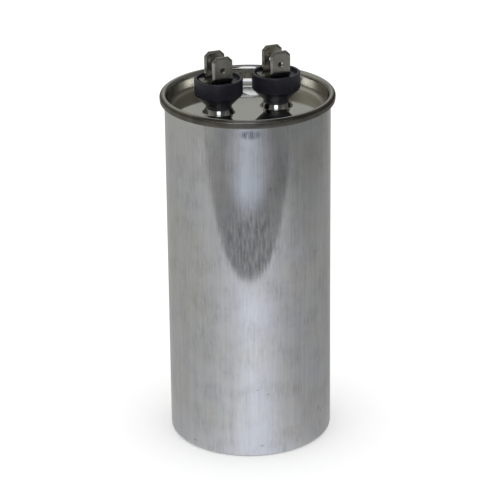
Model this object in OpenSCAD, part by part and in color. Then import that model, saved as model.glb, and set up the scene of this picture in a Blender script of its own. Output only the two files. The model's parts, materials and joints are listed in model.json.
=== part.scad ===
// Motor run capacitor: a drawn aluminium can, closed by a double-seamed tinplate lid
// that carries two insulated terminals with twin blades, and the film winding, end
// contacts and leads inside. Millimetres, +Z up. The origin is in the middle of the
// can's underside, and +X runs along the line from the left terminal to the right one.

/* [Can] */
// Outside diameter of the can
can_d = 50; // [47:0.5:60]
// Height from the underside to the top of the seam
rim_h = 110; // [80:1:140]
// Thickness of the can's sheet
can_t = 0.4; // [0.3:0.05:0.5]
// Outside radius of the can's bottom corner
corner_r = 1.3; // [1:0.1:3]

/* [Double seam] */
// Height of the seam, measured on the outside
seam_h = 2.6; // [2.4:0.1:3.6]
// Thickness of the lid's sheet
lid_t = 0.4; // [0.3:0.05:0.5]
// Space between two neighbouring layers of the seam
ply_gap = 0.05; // [0.03:0.01:0.08]
// Space beyond the tip of each hook
hook_gap = 0.12; // [0.08:0.01:0.2]
// Height of the sealing compound's space under the crown
compound_h = 0.15; // [0.12:0.01:0.2]
// Clearance round the sealing compound
compound_fit = 0.02; // [0.01:0.01:0.03]
// Outward lean of the seam and of the wall round the lid's recess, from the vertical
seam_lean = 4; // [2:0.5:6]
// Radius, on the middle line, where the can's wall starts to lean
lean_bend_r = 2; // [1:0.5:4]

/* [Lid] */
// Depth of the lid's panel below the top of the seam
panel_depth = 5.4; // [4:0.1:7]
// Radius, on the sheet's middle line, between the panel and the chuck wall
panel_fillet_r = 2; // [1:0.1:3]
// Height of the raised seat under each terminal
seat_h = 1.6; // [0.3:0.05:2.5]
// Width of the flat ledge that the seat shows round the bushing's neck
seat_ledge = 0.15; // [0:0.05:0.5]
// Width of the seat's sloping side
seat_slope = 0.6; // [0.2:0.05:1]

/* [Bushings] */
// Distance between the two terminals
terminal_pitch = 18; // [16:0.5:22]
// Outside diameter of a bushing
bushing_d = 14.6; // [13.5:0.1:15.5]
// Height of a bushing above its seat
bushing_h = 9.2; // [7.5:0.1:12]
// Diameter of the bushing's neck
neck_d = 7.7; // [7:0.1:9]
// Height of the neck's straight part
neck_h = 0.3; // [0.1:0.1:1.5]
// Angle of the cone over the neck, from the vertical
cone_a = 46; // [38:1:60]
// Radius between the skirt and the cone
shoulder_r = 1; // [0.4:0.1:2]
// Radius between the cone and the neck
neck_r = 0.8; // [0.3:0.1:1.5]
// Wall of the bushing's rim
cup_wall = 1; // [0.7:0.05:1.4]
// Depth of the recess that holds the terminal's plate
cup_depth = 1; // [0.6:0.1:2]
// Radius on the edges of the rim
cup_edge_r = 0.3; // [0.1:0.05:0.35]
// Diameter of the spigot that passes through the lid
spigot_d = 4.6; // [4.2:0.1:5.4]
// Clearance round the spigot
spigot_fit = 0.1; // [0.05:0.05:0.2]

/* [Blades] */
// Width of a blade
blade_w = 6.35; // [4.8:0.05:6.4]
// Thickness of the blades and their plate
blade_t = 0.8; // [0.5:0.1:1]
// Distance between the middles of the two blades of a terminal
blade_pitch = 6.5; // [6.3:0.1:8]
// Height of the tips above the plate
blade_rise = 7.6; // [6.5:0.1:10]
// Inside radius of the bends
bend_r = 0.8; // [0.4:0.05:0.85]
// Size of the cut across each top corner
corner_cut = 1.3; // [0.6:0.1:1.8]
// Width of the bevel along a blade's edges
bevel_w = 0.7; // [0.3:0.05:0.9]
// Depth of the bevel on each face
bevel_t = 0.2; // [0.1:0.05:0.22]
// Diameter of the latching hole in a blade
latch_d = 1.8; // [1.2:0.1:2.2]
// Distance of the latching hole from the tip
latch_drop = 4.2; // [3.5:0.1:5]
// Width of the plate's locating tongue
tongue_w = 4.6; // [3:0.1:5.5]
// Space between the tongue's end and the bushing's rim
tongue_gap = 0.5; // [0.2:0.1:1]
// Turn of the blades away from the line of the terminals
blade_turn = 5; // [0:1:20]

/* [Rivets] */
// Diameter of the rivet's shank
rivet_d = 2.4; // [2:0.1:2.8]
// Diameter of the rivet's head
head_d = 3.9; // [3.4:0.1:4]
// Height of the rivet's head
head_h = 0.9; // [0.5:0.1:1.5]
// Diameter of the rivet's closed end
tail_d = 4.6; // [4:0.1:6]
// Thickness of the rivet's closed end
tail_h = 0.7; // [0.5:0.1:1.2]
// Diameter of the hollow in the closed end
tail_bore_d = 1.4; // [1:0.1:1.6]
// Clearance round the shank
rivet_fit = 0.05; // [0.05:0.05:0.15]

/* [Under the lid] */
// Diameter of the sealing gasket
gasket_d = 10; // [9.4:0.1:10.4]
// Thickness of the sealing gasket
gasket_t = 1; // [0.6:0.1:1.5]
// Diameter of the inner insulating washer
washer_d = 10.4; // [10:0.1:11.4]
// Thickness of the inner insulating washer
washer_t = 1.6; // [1.4:0.1:2.5]
// Depth to which the spigot enters the inner washer
spigot_seat = 0.8; // [0.4:0.1:1]
// Diameter of the solder tag's ring
tag_d = 7.6; // [7:0.2:9]
// Thickness of the solder tag
tag_t = 0.5; // [0.3:0.1:0.8]
// Space between the inner washer and the lead in the tag's eye
tag_gap = 0.2; // [0.1:0.1:0.8]
// Width of the solder tag's arm
tag_arm_w = 3; // [2.4:0.1:4]

/* [Winding] */
// Space between the winding's wrap and the can's wall
wrap_gap = 0.8; // [0.5:0.1:0.9]
// Thickness of the wrap
wrap_t = 0.5; // [0.3:0.1:1]
// Clearance between neighbouring parts of the winding
winding_fit = 0.1; // [0.05:0.05:0.2]
// Space kept over and under the winding by the insulators
end_space = 2.5; // [2.2:0.1:4]
// Thickness of the metal sprayed on each end of the winding
spray_t = 0.8; // [0.5:0.1:1.5]
// Outside diameter of the core tube
core_d = 8; // [7:0.5:12]
// Bore of the core tube
core_bore_d = 5; // [4.5:0.1:5.5]
// Thickness of the two insulating discs
insulator_t = 1.2; // [0.8:0.1:2]
// Middle diameter of the spacer ring on each insulating disc
spacer_d = 20; // [18:1:23]
// Width of the spacer ring
spacer_w = 2.5; // [1.5:0.1:3]
// Space between the upper insulating disc and the rivets
headroom = 6; // [5:0.1:10]

/* [Leads] */
// Diameter of a lead
lead_d = 1.2; // [0.8:0.1:1.3]
// Radius of a lead's bends, on its middle line
lead_bend_r = 1.5; // [1.3:0.1:2]
// Clearance round a lead where it passes through a hole
lead_fit = 0.1; // [0.05:0.05:0.2]
// Length of the lead's foot under the lower end contact
lead_foot = 7; // [5:0.5:7.5]
// Length of lead that stands out above a solder tag
lead_end = 0.6; // [0.3:0.1:1]

/* [Hidden] */
$fn = 96;
arc_steps = 10;
cut = 1;  // how far a cutter reaches past the faces that it cuts

// Radii of the seam's layers at its foot, on the middle line of each sheet, from the
// inside out
can_r = can_d / 2;
can_wall_r = can_r - can_t / 2;
chuck_wall_r = can_r - can_t - ply_gap - lid_t / 2;
cover_hook_r = can_r + ply_gap + lid_t / 2;
body_hook_r = cover_hook_r + lid_t / 2 + ply_gap + can_t / 2;
seaming_wall_r = body_hook_r + can_t / 2 + ply_gap + lid_t / 2;
crown_r = (seaming_wall_r - chuck_wall_r) / 2;
body_bend_r = (body_hook_r - can_wall_r) / 2;
cover_bend_r = (seaming_wall_r - cover_hook_r) / 2;

// Heights in the seam
crown_z = rim_h - lid_t / 2 - crown_r;
body_top_z = rim_h - lid_t - compound_h;
body_bend_z = body_top_z - can_t / 2 - body_bend_r;
seam_foot_z = rim_h - seam_h;
cover_bend_z = seam_foot_z + lid_t / 2 + cover_bend_r;
cover_hook_tip_z = body_top_z - can_t - hook_gap;
body_hook_tip_z = seam_foot_z + lid_t + hook_gap;

// Radius at height z of a line that leans with the seam, parallel to the can's wall in it
function leaned(r, z) =
    can_wall_r + (r - can_wall_r) / cos(seam_lean) + (z - seam_foot_z) * tan(seam_lean);

// Heights of the lid's panel and of what is stacked on the seat and under the panel
panel_z = rim_h - panel_depth;
panel_under_z = panel_z - lid_t;
seat_z = panel_z + seat_h;
cup_z = seat_z + bushing_h;
plate_z = cup_z - cup_depth;
gasket_z = panel_under_z - gasket_t;
spigot_z = gasket_z - spigot_seat;
washer_z = gasket_z - washer_t;
tag_z = washer_z - tag_t;
rivet_tail_z = tag_z - tail_h;

// Radii round a terminal's axis
seat_top_r = neck_d / 2 + seat_ledge;
seat_foot_r = seat_top_r + seat_slope;
lid_hole_r = spigot_d / 2 + spigot_fit;
rivet_hole_r = rivet_d / 2 + rivet_fit;
cup_r = bushing_d / 2 - cup_wall;

// The bushing's cone, between two tangent arcs
cone_l = (bushing_d / 2 - neck_d / 2 - (shoulder_r + neck_r) * (1 - cos(cone_a))) / sin(cone_a);
cone_h = (shoulder_r + neck_r) * sin(cone_a) + cone_l * cos(cone_a);
neck_top_z = seat_z + neck_h;
shoulder_z = neck_top_z + cone_h;

// Blades, above the underside of their plate
tip_h = blade_t + blade_rise;
bend_h = blade_t + bend_r;

// Stack of the winding, from the can's floor up
lower_insulator_z = can_t;
wrap_z = lower_insulator_z + insulator_t;
lower_contact_z = wrap_z + end_space;
winding_z = lower_contact_z + spray_t;
upper_insulator_z = rivet_tail_z - headroom - insulator_t;
upper_contact_z = upper_insulator_z - end_space - spray_t;
wrap_r = can_r - can_t - wrap_gap;
winding_r = wrap_r - wrap_t - winding_fit;
spacer_r = spacer_d / 2;
insulator_floor_r = min(wrap_r, can_r - corner_r - winding_fit);
foot_z = lower_contact_z - lead_d / 2 - lead_fit / 2;
lead_top_z = washer_z + lead_end;
tag_reach = washer_d / 2 + tag_gap + lead_d / 2;
left_lead_x = -terminal_pitch / 2 - tag_reach;
right_lead_x = terminal_pitch / 2 - tag_reach;
step_bend_r = min(lead_bend_r, right_lead_x / 2);
eye_d = lead_d + 2 * lead_fit;

// Points on an arc about [x, z]
function arc(x, z, r, a0, a1) = [
    for (i = [0 : arc_steps])
        let (a = a0 + (a1 - a0) * i / arc_steps) [x + r * cos(a), z + r * sin(a)]];

// A folded sheet is a run of bends [x, z, radius, start angle, end angle] on its middle
// line. Straight stretches join them, and an end of the sheet is a bend of radius 0 that
// turns through nothing. side() gives the face that lies offset to the left of the run.
function bend(b, offset) =
    let (turn = b[4] >= b[3] ? 1 : -1, r = b[2] - turn * offset)
    b[4] == b[3]
        ? [[b[0] + r * cos(b[3]), b[1] + r * sin(b[3])]]
        : arc(b[0], b[1], r, b[3], b[4]);
function side(bends, offset) = [for (b = bends) each bend(b, offset)];
function reversed(list) = [for (i = [len(list) - 1 : -1 : 0]) list[i]];
module sheet(bends, t) {
    polygon(concat(side(bends, t / 2), reversed(side(bends, -t / 2))));
}

module ring(r_out, r_in, h) {
    difference() {
        cylinder(r = r_out, h = h);
        translate([0, 0, -cut]) cylinder(r = r_in, h = h + 2 * cut);
    }
}

module at_terminal(hand) {
    translate([hand * terminal_pitch / 2, 0, 0]) children();
}

module can() {
    color("#b4b8ba") rotate_extrude() sheet([
        [0, can_t / 2, 0, -90, -90],
        [can_r - corner_r, corner_r, corner_r - can_t / 2, -90, 0],
        [can_wall_r + lean_bend_r, seam_foot_z - lean_bend_r * tan(seam_lean / 2), lean_bend_r,
            180, 180 - seam_lean],
        [leaned(cover_hook_r, body_bend_z), body_bend_z, body_bend_r,
            180 - seam_lean, -seam_lean],
        [leaned(body_hook_r, body_hook_tip_z), body_hook_tip_z, 0,
            180 - seam_lean, 180 - seam_lean]], can_t);
}

module lid() {
    fillet_z = panel_z - lid_t / 2 + panel_fillet_r;
    color("#8d8c84") difference() {
        union() {
            rotate_extrude() sheet([
                [0, panel_z - lid_t / 2, 0, -90, -90],
                [leaned(chuck_wall_r - panel_fillet_r, fillet_z), fillet_z, panel_fillet_r,
                    -90, -seam_lean],
                [leaned(cover_hook_r, crown_z), crown_z, crown_r, 180 - seam_lean, -seam_lean],
                [leaned(body_hook_r, cover_bend_z), cover_bend_z, cover_bend_r,
                    -seam_lean, -180 - seam_lean],
                [leaned(cover_hook_r, cover_hook_tip_z), cover_hook_tip_z, 0,
                    -seam_lean, -seam_lean]], lid_t);
            for (hand = [-1, 1]) at_terminal(hand) translate([0, 0, panel_z - lid_t / 2])
                lid_seat(lid_t / 2 + seat_h, seat_slope * (1 + lid_t / 2 / seat_h));
        }
        for (hand = [-1, 1]) at_terminal(hand) {
            translate([0, 0, panel_under_z - cut])
                cylinder(r = lid_hole_r, h = seat_h + lid_t + 2 * cut);
            translate([0, 0, panel_under_z]) intersection() {
                translate([0, 0, -cut]) cylinder(r = seat_foot_r, h = seat_h + cut);
                translate([0, 0, -lid_t]) lid_seat_hollow();
            }
        }
    }
}

// The raised seat's outer form: a cone that ends in the seat's flat top
module lid_seat(h, slope) {
    cylinder(r1 = seat_top_r + slope, r2 = seat_top_r, h = h);
}

// The hollow pressed into the underside of a seat
module lid_seat_hollow() {
    h = seat_h + lid_t;
    cylinder(r1 = seat_top_r - lid_t + seat_slope * h / seat_h, r2 = seat_top_r - lid_t, h = h);
}

module seam_compound() {
    crown_in_r = crown_r - lid_t / 2 - compound_fit;
    hook_out_r = body_bend_r + can_t / 2 + compound_fit;
    color("#3f7d5c") rotate_extrude() polygon(concat(
        arc(leaned(cover_hook_r, crown_z), crown_z, crown_in_r, 30 - seam_lean, 150 - seam_lean),
        arc(leaned(cover_hook_r, body_bend_z), body_bend_z, hook_out_r,
            150 - seam_lean, 30 - seam_lean)));
}

module bushing() {
    skirt_r = bushing_d / 2;
    color("#23232b") rotate_extrude() polygon(concat(
        [[rivet_hole_r, spigot_z], [spigot_d / 2, spigot_z], [spigot_d / 2, seat_z],
            [neck_d / 2, seat_z]],
        arc(neck_d / 2 + neck_r, neck_top_z, neck_r, 180, 180 - cone_a),
        arc(skirt_r - shoulder_r, shoulder_z, shoulder_r, -cone_a, 0),
        arc(skirt_r - cup_edge_r, cup_z - cup_edge_r, cup_edge_r, 0, 90),
        arc(cup_r + cup_edge_r, cup_z - cup_edge_r, cup_edge_r, 90, 180),
        [[cup_r, plate_z], [rivet_hole_r, plate_z]]));
}

// A stamped strip: two upright blades, the plate between them and its locating tongue
module blade_terminal() {
    color("#8c867b") translate([0, 0, plate_z]) rotate(blade_turn) difference() {
        union() {
            intersection() {
                rotate([90, 0, 90]) linear_extrude(blade_w, center = true) sheet([
                    [-blade_pitch / 2, tip_h, 0, 180, 180],
                    [-blade_pitch / 2 + blade_t / 2 + bend_r, bend_h, blade_t / 2 + bend_r, 180, 270],
                    [blade_pitch / 2 - blade_t / 2 - bend_r, bend_h, blade_t / 2 + bend_r, 270, 360],
                    [blade_pitch / 2, tip_h, 0, 360, 360]], blade_t);
                rotate([90, 0, 0]) linear_extrude(blade_pitch + blade_t + 2 * cut, center = true)
                    blade_outline();
            }
            intersection() {
                cylinder(r = cup_r - tongue_gap, h = blade_t);
                translate([-cup_r, -tongue_w / 2, 0])
                    cube([cup_r - blade_w / 2 + bevel_w / 2, tongue_w, blade_t]);
            }
        }
        translate([0, 0, -cut]) cylinder(r = rivet_hole_r, h = blade_t + 2 * cut);
        translate([0, 0, tip_h - latch_drop]) rotate([90, 0, 0])
            cylinder(d = latch_d, h = blade_pitch + blade_t + 2 * cut, center = true);
        for (place = [-1, 1], face = [-1, 1])
            translate([0, place * blade_pitch / 2, 0]) on_face(face) blade_bevels();
    }
}

// Front view of a blade, with its top corners cut
module blade_outline() {
    polygon([
        [-blade_w / 2, 0], [blade_w / 2, 0],
        [blade_w / 2, tip_h - corner_cut], [blade_w / 2 - corner_cut, tip_h],
        [-blade_w / 2 + corner_cut, tip_h], [-blade_w / 2, tip_h - corner_cut]]);
}

// Mirrors what faces +Y so that it faces -Y
module on_face(face) {
    if (face > 0) children();
    else mirror([0, 1, 0]) children();
}

// Cutters for the bevels on the +Y face of a blade: its two sides, top and cut corners
module blade_bevels() {
    middle_h = tip_h - blade_w / 2;
    intersection() {
        translate([0, 0, middle_h]) for (a = [0, 45, 90, 135, 180]) rotate([0, -a, 0])
            translate([a % 90 == 0 ? blade_w / 2 : (blade_w - corner_cut) / sqrt(2), blade_t / 2, 0])
                linear_extrude(4 * blade_rise, center = true) polygon([
                    [cut, cut], [-bevel_w * (1 + cut / bevel_t), cut],
                    [cut, -bevel_t * (1 + cut / bevel_w)]]);
        translate([-blade_w, -blade_t / 2, bend_h]) cube([2 * blade_w, 2 * blade_t, 2 * blade_rise]);
    }
}

module rivet() {
    dome_r = (head_h * head_h + head_d * head_d / 4) / (2 * head_h);
    color("#a49c88") difference() {
        union() {
            translate([0, 0, rivet_tail_z]) cylinder(d = rivet_d, h = plate_z + blade_t - rivet_tail_z);
            translate([0, 0, plate_z + blade_t]) intersection() {
                cylinder(d = head_d, h = head_h);
                translate([0, 0, head_h - dome_r]) sphere(dome_r);
            }
            translate([0, 0, rivet_tail_z]) cylinder(d1 = rivet_d, d2 = tail_d, h = tail_h);
        }
        translate([0, 0, rivet_tail_z - cut]) cylinder(d = tail_bore_d, h = washer_t + tail_h + cut);
    }
}

module gasket() {
    color("#1c1c1c") difference() {
        union() {
            translate([0, 0, gasket_z]) cylinder(d = gasket_d, h = gasket_t);
            translate([0, 0, gasket_z])
                cylinder(r = seat_top_r - lid_t - spigot_fit, h = gasket_t + seat_h - ply_gap);
        }
        translate([0, 0, gasket_z - cut])
            cylinder(r = lid_hole_r, h = gasket_t + seat_h + 2 * cut);
    }
}

module inner_washer() {
    color("#d8d2bd") difference() {
        translate([0, 0, washer_z]) cylinder(d = washer_d, h = washer_t);
        translate([0, 0, washer_z - cut]) cylinder(r = rivet_hole_r, h = washer_t + 2 * cut);
        translate([0, 0, spigot_z]) cylinder(r = lid_hole_r, h = spigot_seat + cut);
    }
}

module solder_tag() {
    color("#c4b27a") translate([0, 0, tag_z]) difference() {
        union() {
            cylinder(d = tag_d, h = tag_t);
            translate([-tag_reach, 0, 0]) cylinder(d = tag_arm_w, h = tag_t);
            translate([-tag_reach, -tag_arm_w / 2, 0]) cube([tag_reach, tag_arm_w, tag_t]);
        }
        translate([0, 0, -cut]) cylinder(r = rivet_hole_r, h = tag_t + 2 * cut);
        translate([-tag_reach, 0, -cut]) cylinder(d = eye_d, h = tag_t + 2 * cut);
    }
}

// A quarter bend of lead that starts upright at the origin and ends level, towards +X
module lead_bend(r) {
    translate([r, 0, 0]) rotate([90, 0, 0]) mirror([1, 0, 0])
        rotate_extrude(angle = 90) translate([r, 0]) circle(d = lead_d);
}

module left_lead() {
    color("#c9c9c4") translate([left_lead_x, 0, upper_contact_z + spray_t])
        cylinder(d = lead_d, h = lead_top_z - upper_contact_z - spray_t);
}

// From under the lower end contact, up through the core and across to the right tag
module right_lead() {
    step_z = upper_insulator_z + insulator_t + lead_bend_r;
    across_z = step_z + step_bend_r;
    color("#c9c9c4") {
        translate([lead_bend_r, 0, foot_z]) rotate([0, 90, 0])
            cylinder(d = lead_d, h = lead_foot - lead_bend_r);
        translate([0, 0, foot_z + lead_bend_r]) mirror([0, 0, 1]) lead_bend(lead_bend_r);
        translate([0, 0, foot_z + lead_bend_r])
            cylinder(d = lead_d, h = step_z - foot_z - lead_bend_r);
        translate([0, 0, step_z]) lead_bend(step_bend_r);
        if (right_lead_x > 2 * step_bend_r)
            translate([step_bend_r, 0, across_z]) rotate([0, 90, 0])
                cylinder(d = lead_d, h = right_lead_x - 2 * step_bend_r);
        translate([right_lead_x, 0, across_z + step_bend_r]) rotate([180, 0, 180])
            lead_bend(step_bend_r);
        translate([right_lead_x, 0, across_z + step_bend_r])
            cylinder(d = lead_d, h = lead_top_z - across_z - step_bend_r);
    }
}

module winding() {
    color("#d9d6c8") translate([0, 0, winding_z])
        ring(winding_r, core_d / 2 + winding_fit, upper_contact_z - winding_z);
}

module winding_wrap() {
    color("#e6e2d2") translate([0, 0, wrap_z]) ring(wrap_r, wrap_r - wrap_t, upper_insulator_z - wrap_z);
}

module core_tube() {
    color("#e9e9e4") translate([0, 0, lower_contact_z])
        ring(core_d / 2, core_bore_d / 2, upper_contact_z + spray_t - lower_contact_z);
}

module end_contact() {
    color("#9aa0a3") ring(winding_r, core_d / 2 + winding_fit, spray_t);
}

// A disc as wide as the wrap, with an edge that clears the can's corner and a spacer ring
// that keeps the disc at its distance from the winding
module insulator() {
    cylinder(r1 = insulator_floor_r, r2 = wrap_r, h = insulator_t);
    ring(spacer_r + spacer_w / 2, spacer_r - spacer_w / 2, insulator_t + end_space);
}

module lower_insulator() {
    color("#cfc8b0") translate([0, 0, lower_insulator_z]) insulator();
}

module upper_insulator() {
    color("#cfc8b0") difference() {
        translate([0, 0, upper_insulator_z + insulator_t]) mirror([0, 0, 1]) insulator();
        for (x = [left_lead_x, 0]) translate([x, 0, upper_insulator_z - cut])
            cylinder(d = eye_d, h = insulator_t + 2 * cut);
    }
}

can();
lid();
seam_compound();
at_terminal(-1) bushing();  // left_bushing
at_terminal(1) bushing();  // right_bushing
at_terminal(-1) blade_terminal();  // left_blade_terminal
at_terminal(1) blade_terminal();  // right_blade_terminal
at_terminal(-1) rivet();  // left_rivet
at_terminal(1) rivet();  // right_rivet
at_terminal(-1) gasket();  // left_gasket
at_terminal(1) gasket();  // right_gasket
at_terminal(-1) inner_washer();  // left_inner_washer
at_terminal(1) inner_washer();  // right_inner_washer
at_terminal(-1) solder_tag();  // left_solder_tag
at_terminal(1) solder_tag();  // right_solder_tag
left_lead();
right_lead();
winding();
winding_wrap();
core_tube();
translate([0, 0, upper_contact_z]) end_contact();  // upper_end_contact
translate([0, 0, lower_contact_z]) end_contact();  // lower_end_contact
upper_insulator();
lower_insulator();
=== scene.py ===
"""Motor run capacitor with its finishes: the drawn can, the seamed lid, the two insulated
terminals, the pieces inside, and a floor, soft light and camera round them."""

import json
from math import asin, cos, pi, radians, sin, sqrt, tan
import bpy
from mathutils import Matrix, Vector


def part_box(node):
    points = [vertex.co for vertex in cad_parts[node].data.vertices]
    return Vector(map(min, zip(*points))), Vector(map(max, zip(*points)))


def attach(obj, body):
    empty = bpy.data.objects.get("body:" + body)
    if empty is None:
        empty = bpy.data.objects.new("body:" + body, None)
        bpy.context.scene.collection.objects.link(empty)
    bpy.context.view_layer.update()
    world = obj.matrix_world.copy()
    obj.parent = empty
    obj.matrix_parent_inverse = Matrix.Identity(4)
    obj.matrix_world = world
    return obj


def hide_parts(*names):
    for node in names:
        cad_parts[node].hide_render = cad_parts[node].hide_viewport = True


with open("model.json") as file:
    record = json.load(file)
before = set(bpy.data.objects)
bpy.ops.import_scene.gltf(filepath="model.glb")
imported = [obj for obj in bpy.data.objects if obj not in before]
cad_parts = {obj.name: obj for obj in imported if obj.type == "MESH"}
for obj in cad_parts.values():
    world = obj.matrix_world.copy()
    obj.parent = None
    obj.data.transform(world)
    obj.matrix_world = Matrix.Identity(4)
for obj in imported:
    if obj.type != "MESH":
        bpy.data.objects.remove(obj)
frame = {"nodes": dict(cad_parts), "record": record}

from types import SimpleNamespace

import bmesh
import bpy
import numpy as np
from bpy.props import FloatProperty, FloatVectorProperty, PointerProperty
from mathutils import Matrix

bl_info = {
    "name": "Motor Run Capacitor",
    "version": (1, 0, 0),
    "blender": (4, 5, 0),
    "location": "3D View > Sidebar > Capacitor",
    "description": "Builds a motor run capacitor: can, seamed lid, bushings, blades and rivets",
    "category": "Add Mesh",
}

HANDS = {"left": -1, "right": 1}
CAN_TURNS = 320  # Faces round the can and the lid
RING_IN, RING_OUT = 0.0007, 0.0019  # Half sides of the grid's rings round a blade's holes
STRIP_SPACING = 0.00014  # Between the grid's lines along a blade
TONGUE_STEP = 0.00003  # In which the strip's outline steps out to its tongue
BEVEL_FADE = 0.0005  # In which a blade's bevel fades out before the bend
WHITE = (1.0, 1.0, 1.0, 1.0)
SEAM_BAND = 0.0009  # The seam's colour is painted dark, a painted reflection, from this far outside the can's wall
FLOOR_GLOW = 0.16  # What the camera sees of the floor beyond the light on it
TABLE_WIDTH, TABLE_Z = 2.4, 0.0004
TABLE_DIM_X = (0.15, 0.26)  # Between which the table grows dark to the right
STRIP_Y, PATCH_Y = 0.148, 0.220  # Where the table's dark strip and pale patch begin
TENT_R = 1.15
RAMP_TOP = 3.0  # What full white in the ramps of the tent's front and lamp stands for
BEYOND = 400  # Degrees past every angle, for a light without an end on that side
# Small marks on the can's wall: bearing in degrees from the front, height, half width and
# half height in metres
CAN_MARKS = (
    (-4.3, 0.0210, 0.0008, 0.0004), (-11.9, 0.0227, 0.0009, 0.0003),
    (-8.7, 0.0037, 0.0008, 0.0004), (-60.2, 0.0026, 0.0010, 0.0004),
    (40.0, 0.0111, 0.0009, 0.0010), (43.0, 0.0096, 0.0005, 0.0006),
    (-2.0, 0.0880, 0.0005, 0.0009),
)
# Colours of the reflectors, as ramps of (place, red, green, blue). A place is a bearing,
# from 0 behind over the left, 0.5 in front and the right to 1; in the strip and the patch
# it is metres to the right of 0.5; in the lamp, hundreds of degrees of height
TABLE_NEAR = (
    (0.00, 0.42, 0.42, 0.41), (0.15, 0.45, 0.45, 0.44), (0.28, 0.49, 0.49, 0.48),
    (0.38, 0.58, 0.58, 0.58), (0.44, 0.70, 0.71, 0.74), (0.50, 0.90, 0.93, 1.00),
    (0.55, 0.78, 0.80, 0.86), (0.61, 0.58, 0.58, 0.60), (0.67, 0.44, 0.44, 0.45),
    (0.78, 0.39, 0.39, 0.39), (0.87, 0.35, 0.35, 0.34), (1.00, 0.42, 0.42, 0.41),
)
TABLE_RIGHT = (0.26, 0.26, 0.255)
TABLE_STRIP = (
    (0.25, 0.40, 0.40, 0.39), (0.36, 0.30, 0.30, 0.30), (0.50, 0.30, 0.30, 0.31),
    (0.62, 0.29, 0.29, 0.295), (0.68, 0.23, 0.23, 0.23), (0.78, 0.26, 0.26, 0.26),
)
TABLE_PATCH = (
    (0.25, 0.36, 0.36, 0.35), (0.34, 0.31, 0.31, 0.31), (0.41, 0.45, 0.46, 0.49),
    (0.48, 0.62, 0.66, 0.74), (0.55, 0.52, 0.55, 0.62), (0.62, 0.35, 0.35, 0.37),
    (0.68, 0.24, 0.24, 0.24), (0.78, 0.26, 0.26, 0.26),
)
TENT_WALLS = (
    (0.00, 0.17, 0.17, 0.16), (0.21, 0.24, 0.23, 0.21), (0.33, 0.13, 0.13, 0.12),
    (0.62, 0.09, 0.09, 0.09), (0.95, 0.09, 0.09, 0.08), (1.00, 0.17, 0.17, 0.16),
)
TENT_HIGH = (0.05, 0.05, 0.047)
TENT_DIM = (45.0, 62.0)  # Heights in degrees between which the walls grow that dark
TENT_FRONT = (
    (0.25, 0.10, 0.10, 0.09), (0.33, 0.13, 0.13, 0.12), (0.38, 0.30, 0.30, 0.29),
    (0.42, 0.62, 0.62, 0.62), (0.46, 0.88, 0.89, 0.92), (0.50, 1.0, 1.0, 1.0),
    (0.54, 0.60, 0.60, 0.61), (0.58, 0.22, 0.22, 0.22), (0.66, 0.07, 0.07, 0.065),
    (0.75, 0.04, 0.04, 0.04),
)
TENT_LAMP = (
    (0.40, 0.80, 0.88, 1.00), (0.44, 0.80, 0.88, 1.00), (0.47, 0.42, 0.45, 0.52),
    (0.60, 0.42, 0.45, 0.52), (0.75, 0.24, 0.25, 0.27),
)
# Lights on the tent, each over those before it: the bearing it goes by ("turn", -180 to
# 180, or "behind", 0 to 180, both 0 in front), first and last bearing and their softness,
# lowest and highest edge and their softness, all in degrees, and its colour or its ramp
TENT_LIGHTS = (
    ("turn", (-158, -84, 14), (30, 58, 5), (0.45, 0.44, 0.39)),
    ("turn", (84, 160, 12), (30, 60, 5), (0.165, 0.16, 0.135)),
    ("turn", (-62, 62, 10), (29, 36, 1.5), (0.30, 0.30, 0.29)),
    ("turn", (-17, 14, 3), (32, 40.5, 1), (0.10, 0.10, 0.09)),
    ("turn", (-90, 80, 10), (21, 31.5, 1.5), "front"),
    ("behind", (166, BEYOND, 3), (20, 48, 2), (0.52, 0.54, 0.58)),
    ("behind", (162, BEYOND, 3), (16, 30, 2), (0.31, 0.305, 0.27)),
    ("behind", (176.5, BEYOND, 1), (16, 32, 2), (0.47, 0.475, 0.465)),
    ("turn", (-17, 14, 3), (40.2, 76, 0.4), "lamp"),
    ("turn", (-BEYOND, BEYOND, 3), (77, BEYOND, 3), (0.50, 0.51, 0.53)),
)

MOUNTS = {mount["name"]: mount for mount in frame["record"]["mounts"]}
CAN_R = MOUNTS["can_side"]["dims"]["r_mm"] / 1000
# Lowest and highest corners of the pieces that the sizes come from
LID, BUSHING, BLADES, RIVET = (
    np.array(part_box(node))
    for node in ("lid", "right_bushing", "right_blade_terminal", "right_rivet")
)
PANEL_UNDER_Z, RIM_Z = LID[:, 2]
TERMINAL_X = (BUSHING[0, 0] + BUSHING[1, 0]) / 2
BUSHING_R = (BUSHING[1, 0] - BUSHING[0, 0]) / 2
SPIGOT_Z, CUP_Z = BUSHING[:, 2]
TIP_Z = BLADES[1, 2]
RIVET_TAIL_Z, RIVET_TOP_Z = RIVET[:, 2]
# Worn places on the can's wall, of the same form as its marks
CAN_RUBBED = (-15.8, 0.071, 0.0115, 0.0145)
CAN_SCUFFED = (-15.0, RIM_Z - 0.0047, 0.0040, 0.0019)


def setting(kind, **fixed):
    """A function that makes properties of one kind, with settings they share."""

    def make(name, default, description):
        return kind(name=name, default=default, description=description, **fixed)

    return make


length = setting(FloatProperty, unit="LENGTH", subtype="DISTANCE")
angle = setting(FloatProperty, subtype="ANGLE")
colour = setting(FloatVectorProperty, size=3, min=0, max=1, subtype="COLOR")
share = setting(FloatProperty, min=0, max=1, subtype="FACTOR")


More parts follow.
